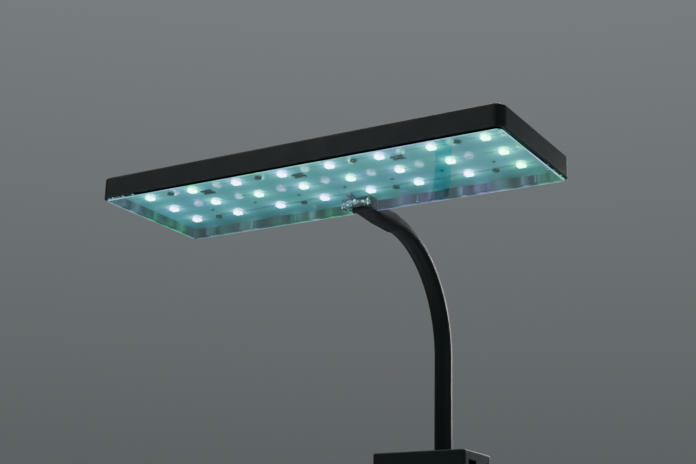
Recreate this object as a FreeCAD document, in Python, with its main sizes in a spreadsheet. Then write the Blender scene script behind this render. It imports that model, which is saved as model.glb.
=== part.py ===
import FreeCAD, Part
import math
import os

import Sketcher
from FreeCAD import Placement, Vector

# Clip-on LED light for an aquarium, in millimetres.
# Origin: middle of the ceiling of the slot that hangs over the tank's glass wall.
# +X runs along the lamp head, +Y points out of the tank, +Z is up.

document = FreeCAD.newDocument("aquarium_light")
sheet = document.addObject("Spreadsheet::Sheet", "Dims")

driving_dimensions = {
    # lamp head
    "head_length": 300,
    "head_width": 107,
    "head_wall": 1.9,
    "roof_thickness": 2.0,
    "side_height": 14.5,
    "head_corner": 6.0,
    "head_edge": 1.4,
    "head_reach": 144.8,
    "lens_level": 161.8,
    "lens_drop": 1.5,
    "lens_length": 296,
    "lens_width": 103,
    "lens_wall": 2.2,
    "lens_height": 10.0,
    "gasket_thickness": 0.8,
    "board_gap": 0.5,
    "board_level": 8.3,
    "board_thickness": 1.6,
    "plate_thickness": 1.5,
    "board_screw_row": 28.5,
    "boss_radius": 2.8,
    "pilot_radius": 1.0,
    # light emitting diodes
    "led_pitch_x": 36.5,
    "led_pitch_y": 27.06,
    "led_size": 5.0,
    "led_height": 1.6,
    "led_shift": 0.7,
    "window_radius": 2.1,
    "window_depth": 0.4,
    # tilt hinge in the head's rear notch
    "notch_depth": 14.0,
    "notch_width": 18.0,
    "lug_outer": 4.4,
    "lug_inner": 2.6,
    "fork_inner": 5.0,
    "pivot_inset": 5.5,
    "pivot_rise": 5.5,
    "barrel_radius": 5.4,
    "pin_radius": 1.5,
    "running_gap": 0.05,
    "lug_radius": 3.2,
    "bracket_screw_x": 13.5,
    "core_offset": 1.6,
    "core_radius": 0.6,
    "core_bend": 1.0,
    # arm
    "tube_radius": 6.6,
    "tube_wall": 1.0,
    "tube_level": 165.3,
    "bend_radius": 84.0,
    "arm_setback": 28.2,
    "lead_radius": 2.0,
    "neck_width": 16.0,
    "neck_length": 41.0,
    "sleeve_length": 18.0,
    "sleeve_radius": 7.5,
    "grub_radius": 1.5,
    "grub_inset": 9.0,
    "collar_height": 3.2,
    # clamp
    "clamp_width": 74.0,
    "jaw_thickness": 6.8,
    "slot_width": 12.0,
    "clamp_depth": 50.0,
    "bridge_thickness": 6.5,
    "jaw_drop": 50.0,
    "clamp_wall": 2.5,
    "front_corner": 2.0,
    "rear_corner": 9.0,
    "socket_depth": 17.5,
    "bush_depth": 12.0,
    "bush_radius": 7.5,
    "bush_flange": 1.1,
    "foot_gap": 1.5,
    "post_radius": 3.2,
    "pad_thickness": 1.5,
    "groove_depth": 0.5,
    "screw_level": 32.0,
    "screw_radius": 4.0,
    "screw_travel": 6.0,
    "insert_radius": 6.0,
    "insert_depth": 12.0,
    "plate_depth": 3.0,
    "boss_length": 8.0,
    "knob_radius": 13.0,
    "knob_length": 13.0,
    "knob_bore": 9.0,
    "cap_inset": 5.0,
    "inlet_x": 22.0,
    "inlet_y": 21.0,
    "inlet_radius": 2.8,
    "inlet_wall": 1.5,
    "inlet_depth": 11.0,
}
for row, (alias, number) in enumerate(driving_dimensions.items(), start=1):
    sheet.set(f"A{row}", alias.replace("_", " "))
    sheet.set(f"B{row}", str(number))
    sheet.setAlias(f"B{row}", alias)
document.recompute()


def named(expression):
    """Puts the sheet's name before every alias in an expression."""
    words = []
    word = ""
    for letter in str(expression) + " ":
        if letter.isalnum() or letter in "_.":
            word += letter
            continue
        words.append("Dims." + word if word in driving_dimensions else word)
        words.append(letter)
        word = ""
    return "".join(words).strip()


def value(expression):
    """The number, in millimetres, that an expression of aliases gives."""
    return float(sheet.evalExpression(named(expression)))


def new_body(label):
    body = document.addObject("PartDesign::Body", label)
    body.Label = label
    body.AllowCompound = True
    return body


def new_sketch(body, plane, offset="0"):
    """A sketch on one of the body's own planes; offset is measured along the remaining axis."""
    sketch = body.newObject("Sketcher::SketchObject", body.Label + "_sketch")
    support = [item for item in body.Origin.OriginFeatures if item.Role == plane + "_Plane"][0]
    sketch.AttachmentSupport = [(support, "")]
    sketch.MapMode = "FlatFace"
    sign = "-" if plane == "XZ" else ""  # the XZ plane's normal points to -Y
    sketch.setExpression("AttachmentOffset.Base.z", named(f"{sign}({offset})"))
    return sketch


def hold(sketch, geometry, position, x, y):
    """Ties one point of a sketch to two expressions."""
    for kind, axis, expression in (("DistanceX", -2, x), ("DistanceY", -1, y)):
        number = value(expression)
        if abs(number) < 1e-9:
            sketch.addConstraint(Sketcher.Constraint("PointOnObject", geometry, position, axis))
            continue
        index = sketch.addConstraint(Sketcher.Constraint(kind, -1, 1, geometry, position, number))
        sketch.setExpression(f"Constraints[{index}]", named(expression))


def outline(sketch, corners):
    """A closed outline of straight lines through the corners."""
    points = [Vector(value(x), value(y), 0) for x, y in corners]
    count = len(points)
    lines = []
    for index in range(count):
        line = Part.LineSegment(points[index], points[(index + 1) % count])
        lines.append(sketch.addGeometry(line, False))
    for index in range(count):
        following = lines[(index + 1) % count]
        sketch.addConstraint(Sketcher.Constraint("Coincident", lines[index], 2, following, 1))
    for line, (x, y) in zip(lines, corners):
        hold(sketch, line, 1, x, y)


def rectangle(sketch, width, height, x="0", y="0"):
    left, right = f"({x}) - ({width}) / 2", f"({x}) + ({width}) / 2"
    low, high = f"({y}) - ({height}) / 2", f"({y}) + ({height}) / 2"
    outline(sketch, [(left, low), (right, low), (right, high), (left, high)])


def rounded_rectangle(sketch, width, height, corner, x="0", y="0"):
    """A rectangle with round corners, drawn as four lines and four arcs."""
    half_width, half_height, radius = value(width) / 2, value(height) / 2, value(corner)
    centre = Vector(value(x), value(y), 0)
    points = []
    for turn in range(4):
        across, along = (half_width, half_height) if turn % 2 == 0 else (half_height, half_width)
        quarter = math.pi / 2 * turn
        for u, v in ((across, along - radius), (across - radius, along)):
            points.append(centre + Vector(
                u * math.cos(quarter) - v * math.sin(quarter),
                u * math.sin(quarter) + v * math.cos(quarter), 0))
        to_corner = Vector(across - radius, along - radius, 0)
        reach = to_corner + Vector(radius, radius, 0) * math.sqrt(0.5)
        middle = centre + Vector(
            reach.x * math.cos(quarter) - reach.y * math.sin(quarter),
            reach.x * math.sin(quarter) + reach.y * math.cos(quarter), 0)
        sketch.addGeometry(Part.Arc(points[-2], middle, points[-1]), False)
    for turn in range(4):
        sketch.addGeometry(Part.LineSegment(points[2 * turn + 1], points[(2 * turn + 2) % 8]), False)


def circle(sketch, radius, x="0", y="0"):
    shape = Part.Circle(Vector(value(x), value(y), 0), Vector(0, 0, 1), value(radius))
    index = sketch.addGeometry(shape, False)
    constraint = sketch.addConstraint(Sketcher.Constraint("Radius", index, value(radius)))
    sketch.setExpression(f"Constraints[{constraint}]", named(radius))
    hold(sketch, index, 3, x, y)


def is_along_xz_normal(sketch):
    return sketch.AttachmentSupport[0][0].Role == "XZ_Plane"


def pad(body, sketch, length, towards="+"):
    """Adds material from the sketch along + or - of the remaining axis, or to both sides."""
    feature = body.newObject("PartDesign::Pad", body.Label + "_pad")
    feature.Profile = sketch
    feature.setExpression("Length", named(length))
    if towards == "both":
        feature.SideType = "Symmetric"
    else:
        feature.Reversed = (towards == "-") != is_along_xz_normal(sketch)
    document.recompute()
    return feature


def pocket(body, sketch, length, towards="+"):
    """Removes material from the sketch along + or - of the remaining axis, or to both sides."""
    before = body.Shape.Volume
    feature = body.newObject("PartDesign::Pocket", body.Label + "_pocket")
    feature.Profile = sketch
    feature.setExpression("Length", named(length))
    if towards == "both":
        feature.SideType = "Symmetric"
    else:
        feature.Reversed = (towards == "+") != is_along_xz_normal(sketch)
    document.recompute()
    if body.Shape.Volume > before - 1e-6:
        raise ValueError(f"{body.Label}: a pocket removed nothing")
    return feature


def block(body, plane, offset, length, towards, width, height, x="0", y="0"):
    sketch = new_sketch(body, plane, offset)
    rectangle(sketch, width, height, x, y)
    return pad(body, sketch, length, towards)


def cut_block(body, plane, offset, length, towards, width, height, x="0", y="0"):
    sketch = new_sketch(body, plane, offset)
    rectangle(sketch, width, height, x, y)
    return pocket(body, sketch, length, towards)


def rod(body, plane, offset, length, towards, radius, places=(("0", "0"),)):
    sketch = new_sketch(body, plane, offset)
    for x, y in places:
        circle(sketch, radius, x, y)
    return pad(body, sketch, length, towards)


def bore(body, plane, offset, length, towards, radius, places=(("0", "0"),)):
    sketch = new_sketch(body, plane, offset)
    for x, y in places:
        circle(sketch, radius, x, y)
    return pocket(body, sketch, length, towards)


def sleeve(body, plane, offset, length, towards, outer, inner, places=(("0", "0"),)):
    sketch = new_sketch(body, plane, offset)
    for x, y in places:
        circle(sketch, outer, x, y)
        circle(sketch, inner, x, y)
    return pad(body, sketch, length, towards)


def edges_where(feature, test):
    return [f"Edge{index + 1}" for index, edge in enumerate(feature.Shape.Edges) if test(edge)]


def finish_edges(body, kind, size, test):
    """Rounds (Fillet) or bevels (Chamfer) the edges of the body's last feature that pass the test."""
    base = body.Tip
    feature = body.newObject("PartDesign::" + kind, body.Label + "_" + kind.lower())
    feature.Base = (base, edges_where(base, test))
    feature.setExpression("Radius" if kind == "Fillet" else "Size", named(size))
    document.recompute()
    return feature


def is_vertical(edge):
    box = edge.BoundBox
    return box.ZLength > 1 and box.XLength < 1e-6 and box.YLength < 1e-6


def lies_at(edge, axis, level):
    """True for an edge that lies in the plane where the axis has that value."""
    low = getattr(edge.BoundBox, axis + "Min")
    high = getattr(edge.BoundBox, axis + "Max")
    return abs(low - level) < 1e-4 and abs(high - level) < 1e-4


def route(sketch, points, radius):
    """An open path of straight runs in a sketch, joined by tangent arcs of one radius."""
    points = [Vector(value(x), value(y), 0) for x, y in points]
    bend = value(radius)
    start = points[0]
    for index in range(1, len(points) - 1):
        corner = points[index]
        to_start = (points[index - 1] - corner).normalize()
        to_end = (points[index + 1] - corner).normalize()
        half_angle = to_start.getAngle(to_end) / 2
        run_in = corner + to_start * (bend / math.tan(half_angle))
        run_out = corner + to_end * (bend / math.tan(half_angle))
        inward = (to_start + to_end).normalize()
        middle = corner + inward * (bend / math.sin(half_angle) - bend)
        if (run_in - start).Length > 1e-6:
            sketch.addGeometry(Part.LineSegment(start, run_in), False)
        sketch.addGeometry(Part.Arc(run_in, middle, run_out), False)
        start = run_out
    sketch.addGeometry(Part.LineSegment(start, points[-1]), False)


def pipe(body, spine, profile):
    feature = body.newObject("PartDesign::AdditivePipe", body.Label + "_pipe")
    feature.Profile = profile
    feature.Spine = spine
    document.recompute()
    return feature


def screw_group(label, places, head_top, head_height, head_radius, shank_radius, shank_length):
    """Upright cross-head screws: heads below, shanks going up from the heads."""
    body = new_body(label)
    bottom = f"{head_top} - {head_height}"
    rod(body, "XY", bottom, head_height, "+", head_radius, places)
    rod(body, "XY", head_top, shank_length, "+", shank_radius, places)
    slot_length, slot_width, slot_depth = f"1.3 * ({head_radius})", "0.5", f"0.5 * ({head_height})"
    for width, height in ((slot_length, slot_width), (slot_width, slot_length)):
        sketch = new_sketch(body, "XY", bottom)
        for x, y in places:
            rectangle(sketch, width, height, x, y)
        pocket(body, sketch, slot_depth, "+")
    return body


# ---------------------------------------------------------------- lamp head
head_y = "-head_reach"
housing_level = "lens_level + lens_drop"
roof_level = f"{housing_level} + side_height - roof_thickness"
gasket_level = "lens_level + lens_height"
shoulder_level = "lens_level + lens_height + gasket_thickness"
board_bottom = "lens_level + board_level"
plate_bottom = f"{board_bottom} + board_thickness"
plate_top = f"{plate_bottom} + plate_thickness"
cavity_length = "lens_length - 2 * lens_wall"
cavity_width = "lens_width - 2 * lens_wall"
rear_edge = "lens_width / 2 - head_reach"
notch_front = f"{rear_edge} + 2 - notch_depth"
pivot_y = "head_width / 2 - pivot_inset - head_reach"
pivot_z = "lens_level + pivot_rise"
hinge_room = "pivot_rise + barrel_radius + 0.7"  # height of the hinge space above the lens's face
led_columns = [f"{step} * led_pitch_x" for step in (-3.5, -2.5, -1.5, -0.5, 0.5, 1.5, 2.5, 3.5)]
led_rows = [f"{head_y} - led_shift + {step} * led_pitch_y" for step in (-1, 0, 1)]
led_places = [(x, y) for x in led_columns for y in led_rows]
screw_places = [
    (f"{step} * led_pitch_x", f"{head_y} + {side} * board_screw_row")
    for step in (-3, -1, 1, 3) for side in (-1, 1)
]
bracket_screw_places = [(f"{side} * bracket_screw_x", f"{pivot_y} - 2") for side in (-1, 1)]
lead_places = (("red", -1), ("black", 1))


def notched_outline(sketch, length, width, notch_half_width, notch_start):
    """A rectangle round the head's centre with a rectangular notch in its rear edge."""
    right, left = f"({length}) / 2", f"-({length}) / 2"
    front, rear = f"{head_y} - ({width}) / 2", f"{head_y} + ({width}) / 2"
    side = f"({notch_half_width})"
    outline(sketch, [
        (left, front), (right, front), (right, rear), (side, rear), (side, notch_start),
        (f"-{side}", notch_start), (f"-{side}", rear), (left, rear),
    ])


def make_housing():
    """The head's opaque upper shell: an open-bottomed tray with a shoulder for the gasket."""
    body = new_body("head_housing")
    block(body, "XY", housing_level, "side_height", "+", "head_length", "head_width", y=head_y)
    finish_edges(body, "Fillet", "head_corner", is_vertical)
    top = value(housing_level) + value("side_height")
    finish_edges(body, "Fillet", "head_edge", lambda edge: lies_at(edge, "Z", top))
    cut_block(body, "XY", housing_level, f"{shoulder_level} - ({housing_level})", "+",
              "head_length - 2 * head_wall", "head_width - 2 * head_wall", y=head_y)
    cut_block(body, "XY", housing_level, f"{roof_level} - ({housing_level})", "+",
              cavity_length, cavity_width, y=head_y)
    inner_x, inner_y = value("head_length / 2 - head_wall"), value("head_width / 2 - head_wall")
    centre_y = value(head_y)
    finish_edges(body, "Fillet", "head_corner - head_wall", lambda edge: (
        is_vertical(edge) and abs(abs(edge.BoundBox.XMin) - inner_x) < 0.01
        and abs(abs(edge.BoundBox.YMin - centre_y) - inner_y) < 0.01))
    cut_block(body, "XY", housing_level, f"{roof_level} - ({housing_level})", "+",
              "notch_width - 0.2", "4", y="head_width / 2 - head_wall - 2 - head_reach")
    cut_block(body, "XY", housing_level, f"{hinge_room} - lens_drop", "+",
              "neck_width + 1.2", "8", y="head_width / 2 - head_reach")
    rod(body, "XY", plate_top, f"{roof_level} - ({plate_top})", "+", "boss_radius", screw_places)
    bore(body, "XY", plate_top, "2.6", "+", "pilot_radius", screw_places)
    bore(body, "XY", roof_level, "1.2", "+", "pilot_radius", bracket_screw_places)
    return body


def make_lens():
    """The clear tray that closes the head from below, with a notch for the hinge."""
    body = new_body("lens_cover")
    block(body, "XY", "lens_level", "lens_height", "+", "lens_length", "lens_width", y=head_y)
    cut_block(body, "XY", "lens_level", "lens_height", "+",
              "notch_width", "2 * notch_depth", y=f"{notch_front} + notch_depth")
    finish_edges(body, "Fillet", "head_corner - head_wall - 0.1", lambda edge: (
        is_vertical(edge) and abs(edge.BoundBox.XMin) > value("notch_width")))
    front = value(notch_front)
    finish_edges(body, "Fillet", "3.6", lambda edge: is_vertical(edge) and lies_at(edge, "Y", front))
    inside = new_sketch(body, "XY", "lens_level + lens_wall")
    notched_outline(inside, cavity_length, cavity_width, "notch_width / 2 + lens_wall",
                    f"{notch_front} - lens_wall")
    pocket(body, inside, "lens_height - lens_wall", "+")
    bottom = value("lens_level")
    finish_edges(body, "Fillet", "0.6", lambda edge: lies_at(edge, "Z", bottom))
    return body


def make_gasket():
    body = new_body("lens_gasket")
    sketch = new_sketch(body, "XY", gasket_level)
    rectangle(sketch, "lens_length - 0.4", "lens_width - 0.4", y=head_y)
    rectangle(sketch, f"{cavity_length} + 0.4", f"{cavity_width} + 0.4", y=head_y)
    pad(body, sketch, "gasket_thickness")
    cut_block(body, "XY", gasket_level, "gasket_thickness", "+",
              "notch_width", "12", y="lens_width / 2 - head_reach")
    finish_edges(body, "Fillet", "3.4", lambda edge: (
        edge.BoundBox.ZLength > 0.5 and abs(edge.BoundBox.XMin) > value("lens_length / 2 - 1")))
    return body


def make_sheet_layer(label, level, thickness, notch_half_width):
    """The circuit board or the heat spreader above it: a flat sheet with screw and lead holes."""
    body = new_body(label)
    sketch = new_sketch(body, "XY", level)
    notched_outline(sketch, f"{cavity_length} - 2 * board_gap", f"{cavity_width} - 2 * board_gap",
                    notch_half_width, f"{notch_front} - lens_wall - board_gap")
    pad(body, sketch, thickness)
    bore(body, "XY", level, thickness, "+", "1.3", screw_places)
    bore(body, "XY", level, thickness, "+", "1.3",
         [(f"{side} * core_offset", f"{notch_front} - 6") for side in (-1, 1)])
    return body


def make_leds():
    """Square packages with a round well, and the windows that fill the wells."""
    packages = new_body("led_packages")
    sketch = new_sketch(packages, "XY", f"{board_bottom} - led_height")
    for x, y in led_places:
        rectangle(sketch, "led_size", "led_size", x, y)
    pad(packages, sketch, "led_height")
    bore(packages, "XY", f"{board_bottom} - led_height", "window_depth", "+", "window_radius", led_places)
    windows = new_body("led_windows")
    rod(windows, "XY", f"{board_bottom} - led_height", "window_depth", "+", "window_radius", led_places)


def make_board_parts():
    """Pairs of driver chips, small resistors and the two solder joints."""
    chips = new_body("driver_chips")
    sketch = new_sketch(chips, "XY", f"{board_bottom} - 0.8")
    for centre in (-84, -10, 64):
        for side in (-1, 1):
            rectangle(sketch, "8.5", "2.4", f"{centre}", f"{head_y} - 20 + {side} * 2.2")
    pad(chips, sketch, "0.8")
    resistors = new_body("board_resistors")
    sketch = new_sketch(resistors, "XY", f"{board_bottom} - 0.5")
    for step in (-3, -2, -1, 0, 1, 2, 3):
        rectangle(sketch, "2.0", "1.25", f"{step} * led_pitch_x + 5", f"{head_y} + 14")
    pad(resistors, sketch, "0.5")
    joints = new_body("solder_joints")
    places = [(f"{side} * core_offset", f"{notch_front} - 11.5") for side in (-1, 1)]
    rod(joints, "XY", f"{board_bottom} - 0.5", "0.5", "+", "1.3", places)


def make_head_leads():
    """The two cores: from the hinge, over the cover's edge and down through the board."""
    for colour, side in lead_places:
        body = new_body("lead_" + colour)
        spine = new_sketch(body, "YZ", f"{side} * core_offset")
        foot_y = f"{pivot_y} - 1.6"
        high = f"{roof_level} - 1.3"
        low = f"{board_bottom} - 0.95"
        route(spine, [
            (foot_y, f"{pivot_z} - 1"), (foot_y, high), (f"{notch_front} - 6", high),
            (f"{notch_front} - 6", low), (f"{notch_front} - 10", low),
        ], "core_bend")
        profile = new_sketch(body, "XY", f"{pivot_z} - 1")
        circle(profile, "core_radius", f"{side} * core_offset", foot_y)
        pipe(body, spine, profile)


def make_bracket():
    """A flange under the head's roof with two lugs that reach down into the neck's fork."""
    body = new_body("hinge_bracket")
    base = f"lens_level + {hinge_room}"
    base_thickness = f"{roof_level} - ({base})"
    block(body, "XY", base, base_thickness, "+", "35", "9", y=f"{head_y} + ({cavity_width}) / 2 - 4.7")
    for side in (-1, 1):
        centre = f"{side} * (lug_outer + lug_inner) / 2"
        block(body, "YZ", centre, "lug_outer - lug_inner", "both", "2 * lug_radius",
              f"{base} - ({pivot_z})", pivot_y, f"(({base}) + ({pivot_z})) / 2")
        rod(body, "YZ", centre, "lug_outer - lug_inner", "both", "lug_radius", [(pivot_y, pivot_z)])
    bore(body, "YZ", "0", "2 * lug_outer + 1", "both", "pin_radius", [(pivot_y, pivot_z)])
    cut_block(body, "XY", base, base_thickness, "+", "2 * lug_inner", "8", y=f"{pivot_y} - 4.4")
    bore(body, "XY", base, base_thickness, "+", "pilot_radius", bracket_screw_places)
    return body


def make_hinge_small_parts():
    """Two pins pressed into the lugs, and a friction washer on each."""
    pins = new_body("hinge_pins")
    washers = new_body("tilt_washers")
    for side, towards in ((-1, "-"), (1, "+")):
        rod(pins, "YZ", f"{side} * (lug_inner + 0.2)", "neck_width / 2 - lug_inner - 0.5",
            towards, "pin_radius", [(pivot_y, pivot_z)])
        sleeve(washers, "YZ", f"{side} * (lug_outer + 0.05)", "fork_inner - lug_outer - 0.1",
               towards, "lug_radius + 0.2", "pin_radius", [(pivot_y, pivot_z)])


make_housing()
make_lens()
make_gasket()
make_sheet_layer("led_board", board_bottom, "board_thickness", "notch_width / 2 + lens_wall + board_gap")
make_sheet_layer("heat_spreader", plate_bottom, "plate_thickness", "19")
make_leds()
make_board_parts()
screw_group("board_screws", screw_places, board_bottom, "1.2", "2.4", "pilot_radius", "5.5")
make_head_leads()
make_bracket()
screw_group("bracket_screws", bracket_screw_places, f"lens_level + {hinge_room}",
            "1.2", "2.0", "pilot_radius", "3.4")
make_hinge_small_parts()

# ---------------------------------------------------------------- arm
neck_rear = f"{pivot_y} + neck_length"
tube_front = f"{neck_rear} - sleeve_length"
tube_foot = "-socket_depth + foot_gap"
grub_place = [("0", f"{neck_rear} - grub_inset")]
neck_bottom = "tube_level - sleeve_radius"


def arm_spine(body, front):
    spine = new_sketch(body, "YZ")
    route(spine, [("arm_setback", tube_foot), ("arm_setback", "tube_level"), (front, "tube_level")],
          "bend_radius")
    return spine


def make_arm_tube():
    """One round tube, bent a quarter turn between the clamp and the head."""
    body = new_body("arm_tube")
    spine = arm_spine(body, tube_front)
    profile = new_sketch(body, "XY", tube_foot)
    circle(profile, "tube_radius", y="arm_setback")
    circle(profile, "tube_radius - tube_wall", y="arm_setback")
    pipe(body, spine, profile)
    bore(body, "XY", neck_bottom, "4", "+", "grub_radius", grub_place)
    return body


def make_arm_lead():
    """The two-core lead inside the tube, from the clamp's chamber to the hinge."""
    body = new_body("arm_lead")
    spine = arm_spine(body, f"{pivot_y} + 2.5")
    profile = new_sketch(body, "XY", tube_foot)
    circle(profile, "lead_radius", y="arm_setback")
    pipe(body, spine, profile)
    return body


def arched_front(neck):
    """The sketch that trims the neck's front to an arch, seen from below."""
    sketch = new_sketch(neck, "XY", f"{pivot_z} - barrel_radius - 1")
    side = value("neck_width / 2 + 1")
    shoulder = value(f"{pivot_y} - 0.6")
    nose = value(f"{pivot_y} - barrel_radius")
    beyond = nose - 4
    corners = [(-side, shoulder), (-side, beyond), (side, beyond), (side, shoulder)]
    points = [Vector(x, y, 0) for x, y in corners]
    for start, end in zip(points, points[1:]):
        sketch.addGeometry(Part.LineSegment(start, end), False)
    sketch.addGeometry(Part.Arc(points[3], Vector(0, nose, 0), points[0]), False)
    return sketch


def make_neck():
    """The moulded end of the arm: a sleeve on the tube and a fork on the head's lugs."""
    body = new_body("hinge_neck")
    fork_section = new_sketch(body, "XZ", pivot_y)
    rounded_rectangle(fork_section, "neck_width", "2 * barrel_radius", "2.6", "0", pivot_z)
    sleeve_section = new_sketch(body, "XZ", f"{tube_front} - 3")
    rounded_rectangle(sleeve_section, "2 * sleeve_radius", "2 * sleeve_radius", "sleeve_radius - 0.2",
                      "0", "tube_level")
    loft = body.newObject("PartDesign::AdditiveLoft", "hinge_neck_loft")
    loft.Profile = fork_section
    loft.Sections = [sleeve_section]
    loft.Ruled = True
    document.recompute()
    rod(body, "XZ", f"{tube_front} - 3", "sleeve_length + 3", "+", "sleeve_radius", [("0", "tube_level")])
    rod(body, "YZ", "0", "neck_width", "both", "barrel_radius", [(pivot_y, pivot_z)])
    pocket(body, arched_front(body), "2 * barrel_radius + 2", "+")
    cut_block(body, "XY", f"{pivot_z} - lug_radius - 0.8", "2 * barrel_radius + 2", "+",
              "2 * fork_inner", "14", y=pivot_y)
    bore(body, "YZ", "0", "neck_width + 2", "both", "pin_radius + running_gap", [(pivot_y, pivot_z)])
    bore(body, "XZ", neck_rear, "sleeve_length", "-", "tube_radius", [("0", "tube_level")])
    bore(body, "XZ", tube_front, f"{tube_front} - ({pivot_y})", "-", "lead_radius + 0.2",
         [("0", "tube_level")])
    bore(body, "XY", neck_bottom, "4", "+", "grub_radius", grub_place)
    return body


def make_arm_small_parts():
    """The grub screw in the neck, the collar above the clamp and the ring below the swivel bush."""
    grub = new_body("neck_grub_screw")
    rod(grub, "XY", f"{neck_bottom} + 0.2", "1.9", "+", "grub_radius", grub_place)
    cut_block(grub, "XY", f"{neck_bottom} + 0.2", "0.9", "+", "grub_radius", "grub_radius",
              y=grub_place[0][1])
    collar = new_body("arm_collar")
    collar_bottom = "bridge_thickness + bush_flange + 0.3"
    collar_top = value(f"{collar_bottom} + collar_height")
    sleeve(collar, "XY", collar_bottom, "collar_height", "+", "tube_radius + 2", "tube_radius",
           [("0", "arm_setback")])
    finish_edges(collar, "Fillet", "0.8", lambda edge: (
        lies_at(edge, "Z", collar_top) and edge.BoundBox.XLength > value("2 * tube_radius + 1")))
    ring = new_body("retaining_ring")
    sleeve(ring, "XY", "-bush_depth - 0.2", "1.2", "-", "bush_radius - 0.2", "tube_radius",
           [("0", "arm_setback")])


make_arm_tube()
make_arm_lead()
make_neck()
make_arm_small_parts()

# ---------------------------------------------------------------- clamp
jaw_inner = "-slot_width / 2"
jaw_outer = "-slot_width / 2 - jaw_thickness"
block_front = "slot_width / 2"
block_rear = "clamp_depth - slot_width / 2 - jaw_thickness"
chamber_front = f"{block_front} + clamp_wall"
chamber_rear = f"{block_rear} - clamp_wall"
chamber_middle = f"(({chamber_front}) + ({chamber_rear})) / 2"
chamber_depth = f"(({chamber_rear}) - ({chamber_front}))"
chamber_width = "clamp_width - 2 * clamp_wall"
front_posts = [(f"{side} * (clamp_width / 2 - 6)", f"{chamber_front} + post_radius") for side in (-1, 1)]
rear_posts = [
    (f"{side} * (clamp_width / 2 - 7.5)", f"{chamber_rear} - post_radius - 1.5") for side in (-1, 1)
]
post_places = front_posts + rear_posts
cover_top = "-jaw_drop + clamp_wall"
insert_front = f"{chamber_rear} - insert_depth"
insert_length = f"{block_rear} - ({insert_front})"
screw_axis = [("0", "-screw_level")]
window_width = "40"
window_height = "26"
pad_face = "slot_width / 2 - pad_thickness"
plate_rear = f"{pad_face} + pad_thickness + plate_depth"
knob_front = f"{block_rear} + 1.6 + screw_travel"
inlet_axis = [("inlet_x", "inlet_y")]


def make_clamp_body():
    """The hook over the glass: a fixed jaw, a bridge and a hollow block behind the glass."""
    body = new_body("clamp_body")
    side = new_sketch(body, "YZ")
    outline(side, [
        (jaw_outer, "-jaw_drop"), (jaw_inner, "-jaw_drop"), (jaw_inner, "0"), (block_front, "0"),
        (block_front, "-jaw_drop"), (block_rear, "-jaw_drop"), (block_rear, "bridge_thickness"),
        (jaw_outer, "bridge_thickness"),
    ])
    pad(body, side, "clamp_width", "both")
    cut_block(body, "XY", "-jaw_drop", "jaw_drop + bridge_thickness - clamp_wall", "+",
              chamber_width, chamber_depth, y=chamber_middle)
    finish_edges(body, "Fillet", "rear_corner - clamp_wall", lambda edge: (
        is_vertical(edge) and lies_at(edge, "Y", value(chamber_rear))))
    finish_edges(body, "Fillet", "front_corner", lambda edge: (
        is_vertical(edge) and lies_at(edge, "Y", value(jaw_outer))))
    finish_edges(body, "Fillet", "rear_corner", lambda edge: (
        is_vertical(edge) and lies_at(edge, "Y", value(block_rear))))
    top = value("bridge_thickness")
    finish_edges(body, "Fillet", "1.2", lambda edge: lies_at(edge, "Z", top))
    block(body, "XY", "-socket_depth", "socket_depth + bridge_thickness - 1", "+",
          "21", "18.4", y="arm_setback - 2")
    rod(body, "XY", cover_top, f"bridge_thickness - 1 - ({cover_top})", "+", "post_radius", post_places)
    rod(body, "XZ", insert_front, f"{insert_length} - 0.5", "+", "insert_radius + 2.5", screw_axis)
    bore(body, "XY", "-socket_depth", "socket_depth + bridge_thickness", "+", "bush_radius",
         [("0", "arm_setback")])
    bore(body, "XZ", insert_front, insert_length, "+", "insert_radius", screw_axis)
    cut_block(body, "XZ", block_front, "clamp_wall", "+", f"{window_width} + 0.8", f"{window_height} + 0.8",
              y="-screw_level")
    bore(body, "XY", cover_top, "6", "+", "pilot_radius", post_places)
    return body


def make_base_cover():
    """The plate that closes the clamp's chamber from below."""
    body = new_body("base_cover")
    block(body, "XY", "-jaw_drop", "clamp_wall", "+", f"{chamber_width} - 0.3", f"{chamber_depth} - 0.3",
          y=chamber_middle)
    finish_edges(body, "Fillet", "rear_corner - clamp_wall", lambda edge: (
        is_vertical(edge) and lies_at(edge, "Y", value(f"{chamber_rear} - 0.15"))))
    bore(body, "XY", "-jaw_drop", "clamp_wall", "+", "1.2", post_places)
    bore(body, "XY", "-jaw_drop", "1.4", "+", "2.5", post_places)
    bore(body, "XY", "-jaw_drop", "clamp_wall", "+", "inlet_radius + inlet_wall + 0.1", inlet_axis)
    return body


def make_swivel_bush():
    body = new_body("swivel_bush")
    place = [("0", "arm_setback")]
    sleeve(body, "XY", "-bush_depth", "bush_depth + bridge_thickness", "+", "bush_radius",
           "tube_radius + running_gap", place)
    sleeve(body, "XY", "bridge_thickness", "bush_flange", "+", "tube_radius + 2.2",
           "tube_radius + running_gap", place)
    return body


def make_thread_insert():
    """The brass nut that the thumb screw runs in."""
    body = new_body("thread_insert")
    sleeve(body, "XZ", insert_front, insert_length, "+", "insert_radius", "screw_radius + running_gap",
           screw_axis)
    sleeve(body, "XZ", block_rear, "1.0", "+", "insert_radius + 2", "screw_radius + running_gap", screw_axis)
    return body


def make_jaw_pad():
    """The soft facing of the fixed jaw, with grip grooves."""
    body = new_body("front_jaw_pad")
    block(body, "XZ", jaw_inner, "pad_thickness", "+", "clamp_width - 8", "40", y="-jaw_drop + 24")
    sketch = new_sketch(body, "XZ", f"{jaw_inner} + pad_thickness")
    for step in (-3, -2, -1, 0, 1, 2, 3):
        rectangle(sketch, "clamp_width", "1.0", y=f"-jaw_drop + 24 + {step} * 5")
    pocket(body, sketch, "groove_depth", "-")
    return body


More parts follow.
